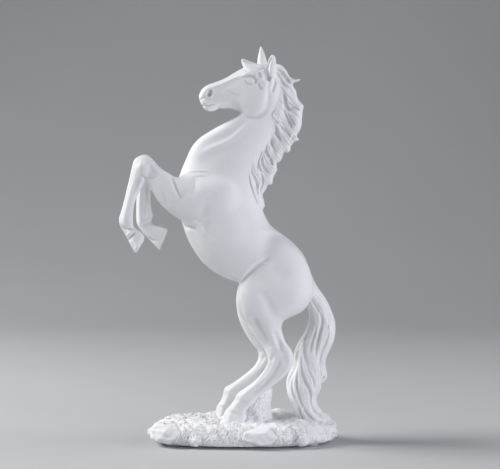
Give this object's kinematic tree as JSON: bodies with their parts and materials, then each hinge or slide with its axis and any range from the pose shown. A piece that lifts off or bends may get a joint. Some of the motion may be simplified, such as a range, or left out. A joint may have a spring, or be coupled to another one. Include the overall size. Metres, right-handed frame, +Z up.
{
  "type": "horse statue",
  "caption": "White resin statue of a rearing horse with a flowing mane and tail, on an oval turf base with boulders and stick-on pads; stands on a shelf as decor.",
  "frame": {"origin": "on the resting plane of the pads, under the middle of the ornament's bounding box", "axes": "+Z up; the horse faces -X; its near (left) side is -Y"},
  "size_m": [0.1723, 0.0841, 0.317],
  "materials": {
    "resin": "matte white cast polyresin",
    "pad": "translucent soft silicone",
    "steel": "drawn mild steel"
  },
  "bodies": {
    "root": {"base": "resin", "torso": "resin", "neck": "resin", "head": "resin", "near_ear": "resin", "off_ear": "resin", "forelock": "resin", "mane": "resin", "near_foreleg": "resin", "off_foreleg": "resin", "near_hindleg": "resin", "off_hindleg": "resin", "tail": "resin", "pad_front_near": "pad", "pad_front_off": "pad", "pad_rear_near": "pad", "pad_rear_off": "pad", "near_leg_wire": "steel", "off_leg_wire": "steel", "tail_wire": "steel", "neck_dowel": "steel", "head_dowel": "steel", "near_foreleg_dowel": "steel", "off_foreleg_dowel": "steel"}
  },
  "joints": []
}
